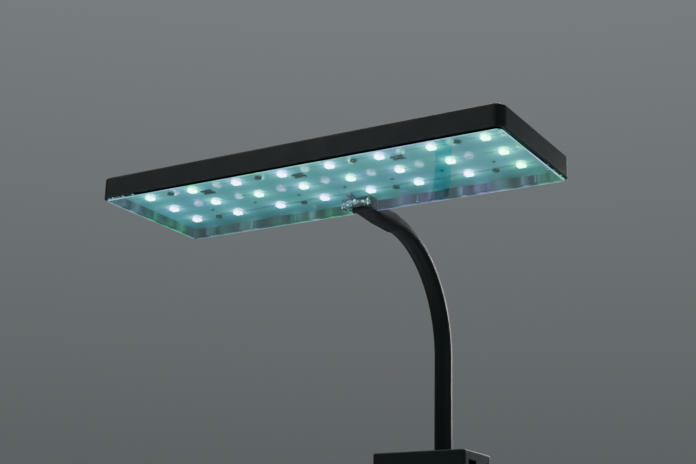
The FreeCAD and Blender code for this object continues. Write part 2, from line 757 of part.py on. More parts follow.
def make_inlet():
    """The low-voltage inlet in the base cover: socket, centre pin and nut."""
    shell = new_body("inlet_socket")
    outer = "inlet_radius + inlet_wall"
    sleeve(shell, "XY", "-jaw_drop", "inlet_depth", "+", outer, "inlet_radius", inlet_axis)
    sleeve(shell, "XY", "-jaw_drop - 1.4", "1.4", "+", f"{outer} + 1.4", "inlet_radius", inlet_axis)
    rod(shell, "XY", "-jaw_drop + inlet_depth", "2", "+", outer, inlet_axis)
    pin = new_body("inlet_pin")
    rod(pin, "XY", "-jaw_drop + 1", "inlet_depth - 1", "+", "1.05", inlet_axis)
    finish_edges(pin, "Fillet", "0.6", lambda edge: lies_at(edge, "Z", value("-jaw_drop + 1")))
    nut = new_body("inlet_nut")
    sketch = new_sketch(nut, "XY", cover_top)
    corner_radius = "(inlet_radius + inlet_wall + 2.3)"
    outline(sketch, [
        (f"inlet_x + {corner_radius} * cos({angle} deg)", f"inlet_y + {corner_radius} * sin({angle} deg)")
        for angle in range(0, 360, 60)
    ])
    circle(sketch, outer, "inlet_x", "inlet_y")
    pad(nut, sketch, "2.2")


def make_clamp_lead():
    """The lead from the foot of the tube, round the insert's boss and down to the inlet."""
    start = value(f"{tube_foot} - 0.3")
    bend = 3.5
    across = start - bend
    end_x = value("inlet_x")
    end_y = value("inlet_y")
    arm_y = value("arm_setback")
    turn = Vector(end_x, end_y - arm_y, 0).normalize()
    side_on = bend * (1 - math.sqrt(0.5))
    foot = Vector(0, arm_y, start)
    first_end = Vector(0, arm_y, across) + turn * bend
    first_middle = foot + turn * side_on + Vector(0, 0, -bend * math.sqrt(0.5))
    last_start = Vector(end_x, end_y, across) - turn * bend
    last_end = Vector(end_x, end_y, across - bend)
    last_middle = last_end - turn * side_on + Vector(0, 0, bend * math.sqrt(0.5))
    bottom = Vector(end_x, end_y, value("-jaw_drop + inlet_depth + 2"))
    path = Part.Wire([
        Part.Arc(foot, first_middle, first_end).toShape(),
        Part.makeLine(first_end, last_start),
        Part.Arc(last_start, last_middle, last_end).toShape(),
        Part.makeLine(last_end, bottom),
    ])
    section = Part.Wire(Part.makeCircle(value("lead_radius"), foot, Vector(0, 0, -1)))
    lead = document.addObject("Part::Feature", "clamp_lead")
    lead.Shape = path.makePipeShell([section], True, False)
    lead.Placement = Placement()


def make_pressure_plate():
    """The plate that the screw pushes against the glass, with its soft facing and clip."""
    plate = new_body("pressure_plate")
    block(plate, "XZ", f"{pad_face} + pad_thickness", "plate_depth", "+", window_width, window_height,
          y="-screw_level")
    rod(plate, "XZ", plate_rear, "boss_length", "+", "screw_radius + 2.8", screw_axis)
    bore(plate, "XZ", f"{plate_rear} + 1.5", "boss_length - 1.5", "+", "screw_radius + running_gap",
         screw_axis)
    cut_block(plate, "XZ", f"{plate_rear} + 4", "1.2", "+", "9.2", "8", y="-screw_level - 4")
    facing = new_body("pressure_pad")
    block(facing, "XZ", pad_face, "pad_thickness", "+", f"{window_width} - 2", f"{window_height} - 2",
          y="-screw_level")
    sketch = new_sketch(facing, "XZ", pad_face)
    for step in (-2, -1, 0, 1, 2):
        rectangle(sketch, window_width, "1.0", y=f"-screw_level + {step} * 4.4")
    pocket(facing, sketch, "groove_depth", "+")
    clip = new_body("screw_clip")
    block(clip, "XZ", f"{plate_rear} + 4.1", "1.0", "+", "9.0", "7.4", y="-screw_level - 3.9")
    bore(clip, "XZ", f"{plate_rear} + 4.1", "1.0", "+", "screw_radius - 0.9", screw_axis)


def make_thumb_screw():
    """The screw, its fluted knob and the knob's cap."""
    screw = new_body("clamp_screw")
    tip = f"{plate_rear} + 1.7"
    rod(screw, "XZ", tip, f"{knob_front} + knob_bore - ({tip})", "+", "screw_radius", screw_axis)
    clip_groove = new_sketch(screw, "XZ", f"{tip} + 2.2")
    circle(clip_groove, "screw_radius + 1", *screw_axis[0])
    circle(clip_groove, "screw_radius - 1", *screw_axis[0])
    pocket(screw, clip_groove, "1.4", "+")
    knob = new_body("thumb_knob")
    rod(knob, "XZ", knob_front, "knob_length", "+", "knob_radius", screw_axis)
    knob_rear = value(f"{knob_front} + knob_length")
    finish_edges(knob, "Fillet", "1.5", lambda edge: lies_at(edge, "Y", knob_rear))
    bore(knob, "XZ", knob_front, "knob_bore", "+", "screw_radius", screw_axis)
    bore(knob, "XZ", f"{knob_front} + knob_length - 1", "1", "+", "knob_radius - cap_inset", screw_axis)
    flute = new_sketch(knob, "XZ", f"{knob_front} + 2")
    flute.setExpression("AttachmentOffset.Base.y", "-Dims.screw_level")  # its normal is the knob's axis
    circle(flute, "3", "knob_radius + 1.4", "0")
    cut = pocket(knob, flute, "knob_length - 2", "+")
    pattern = knob.newObject("PartDesign::PolarPattern", "thumb_knob_flutes")
    pattern.Originals = [cut]
    pattern.Axis = (flute, ["N_Axis"])
    pattern.Occurrences = 10
    knob.Tip = pattern
    document.recompute()
    cap = new_body("knob_cap")
    rod(cap, "XZ", f"{knob_front} + knob_length - 1", "1.2", "+", "knob_radius - cap_inset - 0.1", screw_axis)


make_clamp_body()
make_base_cover()
screw_group("cover_screws", post_places, "-jaw_drop + 1.3", "1.2", "2.2", "1.0", "6.0")
make_swivel_bush()
make_thread_insert()
make_jaw_pad()
make_inlet()
make_clamp_lead()
make_pressure_plate()
make_thumb_screw()

# ---------------------------------------------------------------- check and write
document.recompute()
for item in document.Objects:
    if {"Invalid", "Error"} & set(item.State):
        raise ValueError(f"{item.Label} failed: {item.State}")
sub_parts = [item for item in document.Objects if item.TypeId == "PartDesign::Body"]
sub_parts += [item for item in document.Objects if item.TypeId == "Part::Feature"]
solids_in_a_group = {
    "led_packages": len(led_places),
    "led_windows": len(led_places),
    "driver_chips": 6,
    "board_resistors": 7,
    "solder_joints": 2,
    "board_screws": len(screw_places),
    "bracket_screws": len(bracket_screw_places),
    "hinge_pins": 2,
    "tilt_washers": 2,
    "cover_screws": len(post_places),
}
os.makedirs("parts", exist_ok=True)
for item in sub_parts:
    if item.Shape.isNull() or not item.Shape.isValid():
        raise ValueError(f"{item.Label}: the shape is null or not valid")
    if len(item.Shape.Solids) != solids_in_a_group.get(item.Label, 1):
        raise ValueError(f"{item.Label}: {len(item.Shape.Solids)} solids")
for item in sub_parts:
    item.Shape.exportStep(f"parts/{item.Label}.step")
    print(f"{item.Label}: {len(item.Shape.Solids)} solid(s), {item.Shape.Volume / 1000:.2f} cm3")
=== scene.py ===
import math
import random

import bmesh
import bpy
from mathutils import Matrix, Vector, noise as smooth_noise


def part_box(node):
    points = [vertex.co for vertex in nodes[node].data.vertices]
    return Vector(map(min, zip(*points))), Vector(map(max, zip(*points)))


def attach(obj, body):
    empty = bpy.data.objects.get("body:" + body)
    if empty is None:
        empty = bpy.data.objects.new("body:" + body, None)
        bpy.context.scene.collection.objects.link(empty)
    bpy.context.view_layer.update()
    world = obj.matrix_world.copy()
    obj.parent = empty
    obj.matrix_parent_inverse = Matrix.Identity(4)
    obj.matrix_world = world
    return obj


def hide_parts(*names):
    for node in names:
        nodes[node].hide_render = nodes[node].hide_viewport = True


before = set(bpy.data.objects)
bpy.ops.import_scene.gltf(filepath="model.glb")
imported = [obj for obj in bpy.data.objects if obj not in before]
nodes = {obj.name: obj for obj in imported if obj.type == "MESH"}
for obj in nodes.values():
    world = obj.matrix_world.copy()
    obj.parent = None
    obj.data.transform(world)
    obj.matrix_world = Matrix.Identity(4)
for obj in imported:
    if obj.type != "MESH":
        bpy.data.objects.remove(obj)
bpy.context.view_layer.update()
random.seed(11)

# ---------------------------------------------------------------- places taken from the frame, metres
LED_COLUMNS = 8
LED_ROWS = 3
LED_WINDOW = 0.0042      # diameter of a window
LED_CASE = 0.0050        # side of a package
CAMERA_PLACE = (0.4280, -0.8337, -0.1143)
FLOOR_LEVEL = -0.36
FLOOR_HALF_SIDE = 40

# brightness of the diodes' windows, as emission strength; the painted glow on the packages, board and
# sealant that stands in for their light; and how fast the board's painted glow fades, per metre
WINDOW_CENTRE_GLOW = 900.0
WINDOW_RIM_GLOW = 160.0
CASE_PAINTED_INNER_GLOW = 30.0
CASE_PAINTED_OUTER_GLOW = 5.0
BOARD_PAINTED_GLOW = 0.21
BOARD_PAINTED_WIDE_GLOW = 0.52
BOARD_PAINTED_WIDE_FADE = -60.0
BOARD_PAINTED_HALO_GLOW = 9.0
BOARD_PAINTED_HALO_FADE = -420.0
SEALANT_PAINTED_GLINT_GLOW = 3.0

lens_low, lens_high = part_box("lens_cover")
board_low, board_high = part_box("led_board")
case_low, case_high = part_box("led_packages")
windows_low, windows_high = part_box("led_windows")
head_low, head_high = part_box("head_housing")
clamp_low, clamp_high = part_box("clamp_body")
led_pitch_x = (windows_high.x - windows_low.x - LED_WINDOW) / (LED_COLUMNS - 1)
led_pitch_y = (windows_high.y - windows_low.y - LED_WINDOW) / (LED_ROWS - 1)
led_middle_y = (windows_low.y + windows_high.y) / 2
lens_middle_y = (lens_low.y + lens_high.y) / 2
led_places = [
    ((column - (LED_COLUMNS - 1) / 2) * led_pitch_x, led_middle_y + (row - 1) * led_pitch_y)
    for column in range(LED_COLUMNS) for row in range(LED_ROWS)
]


# ---------------------------------------------------------------- camera, floor and light
def add_camera():
    """Looks up at the lit face from in front of the tank, to the right of the lamp."""
    yaw = math.radians(30.84)
    pitch = math.radians(17.02)
    roll = math.radians(1.34)
    forward = Vector((-math.sin(yaw) * math.cos(pitch), math.cos(yaw) * math.cos(pitch), math.sin(pitch)))
    level_right = Vector((math.cos(yaw), math.sin(yaw), 0))
    level_up = level_right.cross(forward)
    right = math.cos(roll) * level_right + math.sin(roll) * level_up
    up = -math.sin(roll) * level_right + math.cos(roll) * level_up
    camera = bpy.data.objects.new("camera", bpy.data.cameras.new("camera"))
    camera.data.sensor_width = 36
    camera.data.lens = 66.6
    turn = Matrix((right, up, -forward)).transposed()
    camera.matrix_world = Matrix.Translation(CAMERA_PLACE) @ turn.to_4x4()
    bpy.context.collection.objects.link(camera)
    bpy.context.scene.camera = camera


def add_area_light(name, place, target, size, power, colour, spread=160):
    light = bpy.data.lights.new(name, "AREA")
    light.shape = "RECTANGLE"
    light.size = size[0]
    light.size_y = size[1]
    light.energy = power
    light.color = colour
    light.spread = math.radians(spread)
    lamp = bpy.data.objects.new(name, light)
    lamp.location = place
    lamp.rotation_euler = (Vector(target) - Vector(place)).to_track_quat("-Z", "Y").to_euler()
    bpy.context.collection.objects.link(lamp)


def add_stage():
    """A pale floor well below the clamp, a sky that brightens upwards, and four soft lights."""
    mesh = bpy.data.meshes.new("floor")
    build = bmesh.new()
    bmesh.ops.create_grid(build, x_segments=1, y_segments=1, size=FLOOR_HALF_SIDE)
    bmesh.ops.translate(build, verts=build.verts, vec=(0, 0, FLOOR_LEVEL))
    build.to_mesh(mesh)
    build.free()
    floor = bpy.data.objects.new("floor", mesh)
    bpy.context.collection.objects.link(floor)
    mesh.materials.append(floor_paint())
    world = bpy.data.worlds.new("studio")
    bpy.context.scene.world = world
    world.use_nodes = True
    tree = world.node_tree
    sky = tree.nodes["Background"]
    sky.inputs["Color"].default_value = (0.76, 0.83, 0.86, 1)
    direction = add_node(tree, "TexCoord").outputs["Generated"]
    height = add_node(tree, "SeparateXYZ", {"Vector": direction}).outputs["Z"]
    tree.links.new(ramp(tree, height, over=(0.0, 0.5), to=(0.115, 0.26)), sky.inputs["Strength"])
    add_area_light("key", (-0.9, -1.3, 1.3), (0, -0.08, 0.1), (1.2, 0.9), 2, (0.94, 1, 0.99), spread=70)
    add_area_light("fill", (1.5, -0.6, 0.5), (0, -0.05, 0.1), (1.0, 1.0), 0.9, (0.93, 0.98, 1))
    add_area_light("rim", (-0.05, 1.3, 0.45), (0, 0, 0.05), (0.9, 0.5), 2, (0.95, 0.98, 1), spread=80)
    add_area_light("top", (0.1, 0.2, 0.95), (0, 0, 0), (0.8, 0.5), 7, (1, 1, 1))


# ---------------------------------------------------------------- shader helpers
def new_material(name):
    made = bpy.data.materials.new(name)
    made.use_nodes = True
    tree = made.node_tree
    return made, tree, tree.nodes["Principled BSDF"]


def plug(tree, socket, given):
    """Links a socket, or sets a fixed number or colour."""
    if isinstance(given, bpy.types.NodeSocket):
        tree.links.new(given, socket)
    elif socket.type == "RGBA":
        socket.default_value = (*given, 1)
    else:
        socket.default_value = given


def add_node(tree, kind, inputs=None, **settings):
    made = tree.nodes.new("ShaderNode" + kind)
    for key, setting in settings.items():
        setattr(made, key, setting)
    for key, given in (inputs or {}).items():
        plug(tree, made.inputs[key], given)
    return made


def object_place(tree):
    return add_node(tree, "TexCoord").outputs["Object"]


def axes_of(tree):
    """The object's own X, Y and Z, in metres."""
    parts = add_node(tree, "SeparateXYZ", {"Vector": object_place(tree)})
    return parts.outputs["X"], parts.outputs["Y"], parts.outputs["Z"]


def noise(tree, scale, detail=4.0, stretch=(1, 1, 1)):
    """Fractal noise from 0 to 1; scale is in features per metre."""
    place = add_node(tree, "Mapping", {"Vector": object_place(tree), "Scale": stretch})
    made = add_node(tree, "TexNoise", {
        "Vector": place.outputs["Vector"], "Scale": scale, "Detail": detail})
    return made.outputs[0]


def ramp(tree, factor, over=(0.0, 1.0), to=(0.0, 1.0)):
    """Maps a stretch of the factor onto a range of values, and holds the ends beyond it."""
    made = add_node(tree, "MapRange", {
        "Value": factor, "From Min": over[0], "From Max": over[1], "To Min": to[0], "To Max": to[1]})
    return made.outputs["Result"]


def blend_colours(tree, factor, first, second):
    made = add_node(tree, "Mix", data_type="RGBA")
    for index, given in ((0, factor), (6, first), (7, second)):
        plug(tree, made.inputs[index], given)
    return made.outputs[2]


def arithmetic(tree, operation, *values):
    made = add_node(tree, "Math", operation=operation)
    for socket, given in zip(made.inputs, values):
        plug(tree, socket, given)
    return made.outputs[0]


def beyond(tree, coordinate, middle, half):
    """How far a coordinate lies outside a span about its middle, negative inside it."""
    away = arithmetic(tree, "ABSOLUTE", arithmetic(tree, "SUBTRACT", coordinate, middle))
    return arithmetic(tree, "SUBTRACT", away, half)


def near_box_edge(tree, low, high, width):
    """1 on the twelve edges of a box, fading to 0 at the given distance from them."""
    outside = []
    for axis, coordinate in enumerate(axes_of(tree)):
        middle = (low[axis] + high[axis]) / 2
        outside.append(beyond(tree, coordinate, middle, (high[axis] - low[axis]) / 2))
    pair_low = arithmetic(tree, "MINIMUM", outside[0], outside[1])
    pair_high = arithmetic(tree, "MAXIMUM", outside[0], outside[1])
    second = arithmetic(tree, "MAXIMUM", pair_low, arithmetic(tree, "MINIMUM", pair_high, outside[2]))
    return ramp(tree, second, over=(-width, 0.0))


def distance_to_led(tree):
    """Distance in the board's plane from the nearest of the evenly spaced light-emitting diodes."""
    x, y, _ = axes_of(tree)
    column = arithmetic(tree, "SUBTRACT", arithmetic(tree, "FRACT", arithmetic(
        tree, "DIVIDE", x, led_pitch_x)), 0.5)
    row = arithmetic(tree, "SUBTRACT", arithmetic(tree, "FRACT", arithmetic(
        tree, "ADD", arithmetic(tree, "DIVIDE", arithmetic(
            tree, "SUBTRACT", y, led_middle_y), led_pitch_y), 0.5)), 0.5)
    across = arithmetic(tree, "MULTIPLY", column, led_pitch_x)
    along = arithmetic(tree, "MULTIPLY", row, led_pitch_y)
    square = arithmetic(tree, "ADD", arithmetic(tree, "MULTIPLY", across, across),
                        arithmetic(tree, "MULTIPLY", along, along))
    return arithmetic(tree, "SQRT", square)


def add_bump(tree, shader, height, distance, strength=1.0):
    bump = add_node(tree, "Bump", {"Height": height, "Distance": distance, "Strength": strength})
    tree.links.new(bump.outputs["Normal"], shader.inputs["Normal"])


# ---------------------------------------------------------------- materials
def surface(name, colour, roughness, metallic=0.0, grain=1800.0, depth=0.00002, mottling=0.12,
            gloss=0.5, worn_highlit_box=None):
    """A solid finish: mottled colour, uneven roughness, a fine grain and, on a box, lighter patches along
    the edges, partly wear and partly a painted highlight.
    """
    made, tree, shader = new_material(name)
    darker = tuple(channel * (1 - mottling) for channel in colour)
    lighter = tuple(min(1, channel * (1 + mottling)) for channel in colour)
    tone = blend_colours(tree, noise(tree, scale=38, detail=5), darker, lighter)
    smoothest = roughness * 0.92
    roughest = min(1, roughness * 1.08)
    rough = ramp(tree, noise(tree, scale=90, detail=5), over=(0.3, 0.7), to=(smoothest, roughest))
    # edge patches: partly wear, partly a painted highlight that makes the edges catch light
    if worn_highlit_box:
        edge = near_box_edge(tree, *worn_highlit_box, 0.0013)
        patches = ramp(tree, noise(tree, scale=140, detail=6), over=(0.46, 0.64), to=(0.1, 0.6))
        wear_and_highlight = arithmetic(tree, "MULTIPLY", edge, patches)
        edge_wear_highlight_tone = tuple(channel * 3.2 + 0.02 for channel in colour)
        tone = blend_colours(tree, wear_and_highlight, tone, edge_wear_highlight_tone)
        rough = arithmetic(tree, "SUBTRACT", rough, arithmetic(tree, "MULTIPLY", wear_and_highlight, 0.15))
    tree.links.new(tone, shader.inputs["Base Color"])
    tree.links.new(rough, shader.inputs["Roughness"])
    shader.inputs["Metallic"].default_value = metallic
    shader.inputs["Specular IOR Level"].default_value = gloss
    add_bump(tree, shader, noise(tree, grain, 3), depth)
    return made


def floor_paint():
    """Pale matt paint under a painted pool of light: whitest below the lamp and greyer further out."""
    made, tree, shader = new_material("floor_paint")
    distance = add_node(tree, "VectorMath", {"Vector": object_place(tree)}, operation="LENGTH")
    # painted pool of light: the colour greys between 0.5 m and 1.8 m from the origin
    far = ramp(tree, distance.outputs["Value"], over=(0.5, 1.8))
    mottled = blend_colours(tree, noise(tree, scale=9, detail=5), (0.66, 0.68, 0.68), (0.70, 0.71, 0.71))
    tree.links.new(blend_colours(tree, far, mottled, (0.40, 0.42, 0.425)), shader.inputs["Base Color"])
    tree.links.new(ramp(tree, noise(tree, scale=30, detail=4), to=(0.65, 0.85)), shader.inputs["Roughness"])
    shader.inputs["Specular IOR Level"].default_value = 0.2
    add_bump(tree, shader, noise(tree, scale=400, detail=3), 0.0001)
    return made


def led_fringe(tree):
    """Green round some of the diodes and violet round others."""
    tint = ramp(tree, noise(tree, scale=21, detail=1), over=(0.42, 0.58))
    return blend_colours(tree, tint, (0.07, 1.0, 0.40), (0.36, 0.43, 1.0))


def board_with_painted_glow():
    """White solder mask with copper showing faintly through; its teal base colour and its glow are painted
    light from the diodes, brightest in a ring round each diode and with painted shade towards the rear
    edge.
    """
    made, tree, shader = new_material("board_mask_painted_glow")
    distance = distance_to_led(tree)
    traces = ramp(tree, noise(tree, scale=160, detail=2, stretch=(0.25, 1, 1)), over=(0.50, 0.56))
    # painted light: the white mask's base colour is tinted teal, standing for the diodes' light on it
    tone = blend_colours(tree, traces, (0.07, 0.21, 0.23), (0.055, 0.17, 0.19))
    tree.links.new(tone, shader.inputs["Base Color"])
    rough = ramp(tree, noise(tree, scale=55, detail=4), to=(0.012, 0.035))
    tree.links.new(rough, shader.inputs["Roughness"])
    shader.inputs["IOR"].default_value = 1.85
    # painted glow: an even level, a broad falloff and a bright ring round each diode, standing for the
    # diodes' light
    painted_halo = arithmetic(tree, "EXPONENT", arithmetic(tree, "MULTIPLY", distance, BOARD_PAINTED_HALO_FADE))
    painted_wide_glow = arithmetic(tree, "EXPONENT", arithmetic(tree, "MULTIPLY", distance, BOARD_PAINTED_WIDE_FADE))
    _, y, _ = axes_of(tree)
    # painted shade: the painted glow drops to a quarter over the board's rear 24 mm
    painted_shade_to_rear = ramp(tree, y, over=(board_high.y - 0.024, board_high.y), to=(1.0, 0.25))
    uneven = ramp(tree, noise(tree, scale=24, detail=3), over=(0.3, 0.7), to=(0.8, 1.15))
    glow = arithmetic(tree, "ADD", BOARD_PAINTED_GLOW, arithmetic(tree, "MULTIPLY", painted_wide_glow, BOARD_PAINTED_WIDE_GLOW))
    glow = arithmetic(tree, "ADD", arithmetic(tree, "MULTIPLY", painted_halo, BOARD_PAINTED_HALO_GLOW), glow)
    glow = arithmetic(tree, "MULTIPLY", arithmetic(tree, "MULTIPLY", glow, painted_shade_to_rear), uneven)
    hue = blend_colours(tree, ramp(tree, noise(tree, scale=34, detail=2), over=(0.35, 0.65)),
                        (0.03, 0.80, 0.76), (0.05, 0.68, 0.92))
    painted_halo_share = arithmetic(tree, "MINIMUM", arithmetic(tree, "MULTIPLY", painted_halo, 2.2), 0.85)
    hue = blend_colours(tree, painted_halo_share, hue, led_fringe(tree))
    tree.links.new(hue, shader.inputs["Emission Color"])
    tree.links.new(glow, shader.inputs["Emission Strength"])
    add_bump(tree, shader, traces, 0.000006)
    return made


def lit_window():
    """Phosphor under a clear dome: a hot centre and a rim that drifts between green and violet."""
    made, tree, shader = new_material("led_light")
    distance = distance_to_led(tree)
    rim = ramp(tree, distance, over=(LED_WINDOW * 0.32, LED_WINDOW * 0.5))
    colour = blend_colours(tree, rim, (0.62, 1.0, 0.98), led_fringe(tree))
    shader.inputs["Base Color"].default_value = (0.9, 0.92, 0.8, 1)
    shader.inputs["Roughness"].default_value = 0.15
    tree.links.new(colour, shader.inputs["Emission Color"])
    strength = ramp(tree, distance, over=(0.0, LED_WINDOW * 0.5), to=(WINDOW_CENTRE_GLOW, WINDOW_RIM_GLOW))
    tree.links.new(strength, shader.inputs["Emission Strength"])
    return made


def case_with_painted_glow():
    """The white package, with a painted glow that fades outwards from the window and stands for the diode's
    light spilling round it.
    """
    made, tree, shader = new_material("led_case_painted_glow")
    distance = distance_to_led(tree)
    tone = blend_colours(tree, noise(tree, scale=700, detail=3), (0.78, 0.80, 0.76), (0.90, 0.91, 0.88))
    tree.links.new(tone, shader.inputs["Base Color"])
    shader.inputs["Roughness"].default_value = 0.35
    tree.links.new(led_fringe(tree), shader.inputs["Emission Color"])
    # painted glow, strongest at the window's edge
    strength = ramp(tree, distance, over=(LED_WINDOW * 0.5, LED_CASE * 0.7),
                    to=(CASE_PAINTED_INNER_GLOW, CASE_PAINTED_OUTER_GLOW))
    tree.links.new(strength, shader.inputs["Emission Strength"])
    return made


def clear_plastic(name="clear_acrylic_painted_glow", painted_rim_glow=0.9, painted_wall_glow=0.30):
    """Polished clear acrylic, with a painted glow along its bottom rim for light trapped in it, and painted
    vertical stripes of reflected diode light in its side walls.
    """
    made, tree, shader = new_material(name)
    shader.inputs["Base Color"].default_value = (0.94, 0.985, 0.985, 1)
    shader.inputs["Transmission Weight"].default_value = 1.0
    shader.inputs["IOR"].default_value = 1.49
    marks = ramp(tree, noise(tree, scale=60, detail=6), over=(0.45, 0.75), to=(0.0, 0.05))
    tree.links.new(marks, shader.inputs["Roughness"])
    x, y, z = axes_of(tree)
    outwards = arithmetic(tree, "MAXIMUM", beyond(tree, x, 0.0, lens_high.x),
                          beyond(tree, y, lens_middle_y, lens_high.y - lens_middle_y))
    # painted glow along the bottom rim
    at_rim = ramp(tree, outwards, over=(-0.0014, -0.0006))
    at_bottom = ramp(tree, z, over=(lens_low.z + 0.0001, lens_low.z + 0.0004), to=(1.0, 0.0))
    rim = arithmetic(tree, "MULTIPLY", at_rim, at_bottom)
    uneven = ramp(tree, noise(tree, scale=45, detail=4), over=(0.3, 0.7), to=(0.5, 1.3))
    rim = arithmetic(tree, "MULTIPLY", rim, uneven)
    # painted reflections: vertical stripes of diode light in the side walls
    in_wall = ramp(tree, outwards, over=(-0.0026, -0.0020))
    above_floor = ramp(tree, z, over=(lens_low.z + 0.0022, lens_low.z + 0.0035))
    painted_streaks = noise(tree, scale=130, detail=6, stretch=(1, 1, 0.05))
    painted_streaks = ramp(tree, painted_streaks, over=(0.45, 0.75), to=(0.12, 1.0))
    wall = arithmetic(tree, "MULTIPLY", arithmetic(tree, "MULTIPLY", in_wall, above_floor), painted_streaks)
    strength = arithmetic(tree, "ADD", arithmetic(tree, "MULTIPLY", rim, painted_rim_glow),
                          arithmetic(tree, "MULTIPLY", wall, painted_wall_glow))
    tint = ramp(tree, noise(tree, scale=26, detail=2, stretch=(1, 1, 0.1)), over=(0.38, 0.62))
    hue = blend_colours(tree, tint, (0.14, 0.95, 0.58), (0.46, 0.50, 1.0))
    tree.links.new(hue, shader.inputs["Emission Color"])
    tree.links.new(strength, shader.inputs["Emission Strength"])
    return made


def clear_sealant_painted_glints():
    """Clear silicone, with painted sparkles of the diodes' light on it."""
    made, tree, shader = new_material("clear_sealant_painted_glints")
    shader.inputs["Base Color"].default_value = (0.90, 0.97, 0.97, 1)
    shader.inputs["Transmission Weight"].default_value = 0.9
    shader.inputs["IOR"].default_value = 1.41
    rough = ramp(tree, noise(tree, scale=300, detail=4), over=(0.3, 0.7), to=(0.02, 0.20))
    tree.links.new(rough, shader.inputs["Roughness"])
    # painted sparkles: specks of the sealant that glow with the diodes' light
    painted_glints = ramp(tree, noise(tree, scale=420, detail=2), over=(0.63, 0.68))
    tree.links.new(led_fringe(tree), shader.inputs["Emission Color"])
    strength = arithmetic(tree, "MULTIPLY", painted_glints, SEALANT_PAINTED_GLINT_GLOW)
    tree.links.new(strength, shader.inputs["Emission Strength"])
    return made


# The dark plastics' base colour has a teal tint that is painted light from the diodes; the plastic itself
# is neutral.
black_painted_teal_light = (0.0040, 0.0100, 0.0098)
black_shell = surface("moulded_black", black_painted_teal_light, 0.52, grain=1500, depth=0.00007, gloss=0.30,
                      worn_highlit_box=(head_low, head_high))
clamp_shell = surface("moulded_black_clamp", black_painted_teal_light, 0.50, grain=1400, depth=0.00008, gloss=0.32,
                      worn_highlit_box=(clamp_low, clamp_high))
hinge_shell = surface("moulded_black_hinge", black_painted_teal_light, 0.52, grain=1600, depth=0.00007, gloss=0.28)
# the teal tint of the tube's coat is painted light from the diodes, as for the shells above
tube_coat = surface("powder_coat", (0.0040, 0.0094, 0.0094), 0.46, grain=1800, depth=0.00006, gloss=0.30)
# darker than plain steel: partly the screws' own dull finish, partly painted shade standing for the shadows
# their heads cast across the board
dull_steel_and_painted_shade = surface("dull_steel_and_painted_shade", (0.11, 0.13, 0.13), 0.4, metallic=1.0)
steel = surface("zinc_steel", (0.56, 0.57, 0.58), 0.3, metallic=1.0, grain=2500, depth=0.000008)
brass = surface("turned_brass", (0.75, 0.56, 0.27), 0.3, metallic=1.0)
rubber = surface("black_rubber", (0.02, 0.02, 0.021), 0.75, grain=1500, depth=0.00003)
silicone = surface("grey_silicone", (0.16, 0.17, 0.17), 0.6)
nylon = surface("natural_nylon", (0.62, 0.60, 0.54), 0.5)
black_nylon = surface("black_nylon", (0.016, 0.017, 0.018), 0.38)
chip_case = surface("chip_case", (0.014, 0.016, 0.017), 0.4)
solder = surface("solder", (0.62, 0.63, 0.64), 0.25, metallic=1.0)
resistor_case = surface("resistor_case", (0.05, 0.06, 0.06), 0.4)
black_steel = surface("black_steel", (0.02, 0.021, 0.022), 0.4, metallic=0.6)
red_skin = surface("red_insulation", (0.50, 0.02, 0.015), 0.42)
black_skin = surface("black_insulation", (0.015, 0.015, 0.016), 0.42)
rolled_aluminium = surface("rolled_aluminium", (0.66, 0.67, 0.69), 0.38, metallic=1.0)
board_print = surface("board_print", (0.22, 0.29, 0.30), 0.35)
board = board_with_painted_glow()
led_light = lit_window()
led_case_painted_glow = case_with_painted_glow()
acrylic = clear_plastic()
rib_acrylic = clear_plastic("clear_ribs", 0.0, 0.0)
sealant = clear_sealant_painted_glints()


# ---------------------------------------------------------------- mesh helpers
def make_piece(name, build, material, body, smooth=False):
    """Turns a bmesh into an object that rides on a body."""
    bmesh.ops.recalc_face_normals(build, faces=build.faces)
    mesh = bpy.data.meshes.new(name)
    build.to_mesh(mesh)
    build.free()
    for polygon in mesh.polygons:
        polygon.use_smooth = smooth
    mesh.materials.append(material)
    piece = bpy.data.objects.new(name, mesh)
    bpy.context.collection.objects.link(piece)
    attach(piece, body)
    return piece


def add_block(build, corner, opposite, bevel=0.0):
    """A box between two opposite corners, with its edges bevelled."""
    made = bmesh.ops.create_cube(build, size=1)["verts"]
    size = [abs(opposite[axis] - corner[axis]) for axis in range(3)]
    middle = [(opposite[axis] + corner[axis]) / 2 for axis in range(3)]
    bmesh.ops.scale(build, verts=made, vec=size)
    bmesh.ops.translate(build, verts=made, vec=middle)
    if bevel:
        edges = {edge for vertex in made for edge in vertex.link_edges}
        bmesh.ops.bevel(build, geom=list(edges), offset=bevel, segments=2, affect="EDGES", profile=0.6)


def add_lathe(build, place, profile, segments=24):
    """Turns a profile of (radius, height) points about a vertical axis; radius 0 closes an end."""
    rings = []
    for radius, height in profile:
        if radius == 0:
            rings.append([build.verts.new((place[0], place[1], place[2] + height))])
            continue
        ring = []
        for step in range(segments):
            angle = 2 * math.pi * step / segments
            ring.append(build.verts.new((place[0] + radius * math.cos(angle),
                                         place[1] + radius * math.sin(angle), place[2] + height)))
        rings.append(ring)
    for lower, upper in zip(rings, rings[1:]):
        for step in range(segments):
            following = (step + 1) % segments
            if len(lower) == 1:
                build.faces.new((lower[0], upper[step], upper[following]))
            elif len(upper) == 1:
                build.faces.new((lower[step], lower[following], upper[0]))
            else:
                build.faces.new((lower[step], lower[following], upper[following], upper[step]))


# ---------------------------------------------------------------- the head's detail
def add_led_domes():
    """The diodes' windows: low clear domes over the phosphor, flush with the packages' rims."""
    build = bmesh.new()
    depth = windows_high.z - windows_low.z
    radius = LED_WINDOW / 2
    for x, y in led_places:
        add_lathe(build, (x, y, windows_low.z), [
            (0, depth), (radius, depth), (radius, 0), (radius * 0.80, -0.00022),
            (radius * 0.45, -0.00040), (0, -0.00048)])
    domes = make_piece("led_domes", build, led_light, "head", smooth=True)
    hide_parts("led_windows")


